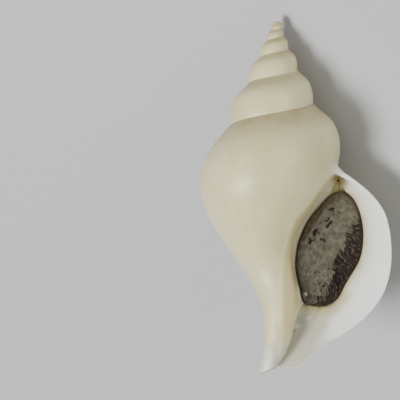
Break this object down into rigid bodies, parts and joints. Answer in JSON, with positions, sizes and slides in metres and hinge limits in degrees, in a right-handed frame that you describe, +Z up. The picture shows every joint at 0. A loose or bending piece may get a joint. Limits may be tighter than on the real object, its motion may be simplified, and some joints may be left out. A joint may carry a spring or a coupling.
{
  "type": "whelk shell",
  "caption": "Smooth ivory whelk shell lying on its back and the side of its outer lip, with its dark horny operculum still lodged in the mouth.",
  "frame": {"origin": "middle of the shell's footprint, on the surface it lies on", "axes": "+Z up; +Y along the shell towards the apex, which points a little down; +X on the side of the outer lip, so the mouth faces up and towards +X"},
  "size_m": [0.0584, 0.1008, 0.0503],
  "materials": {
    "shell_ivory": "satin",
    "operculum_horn": "satin"
  },
  "bodies": {
    "root": {"shell": "shell_ivory", "operculum": "operculum_horn"}
  },
  "joints": []
}
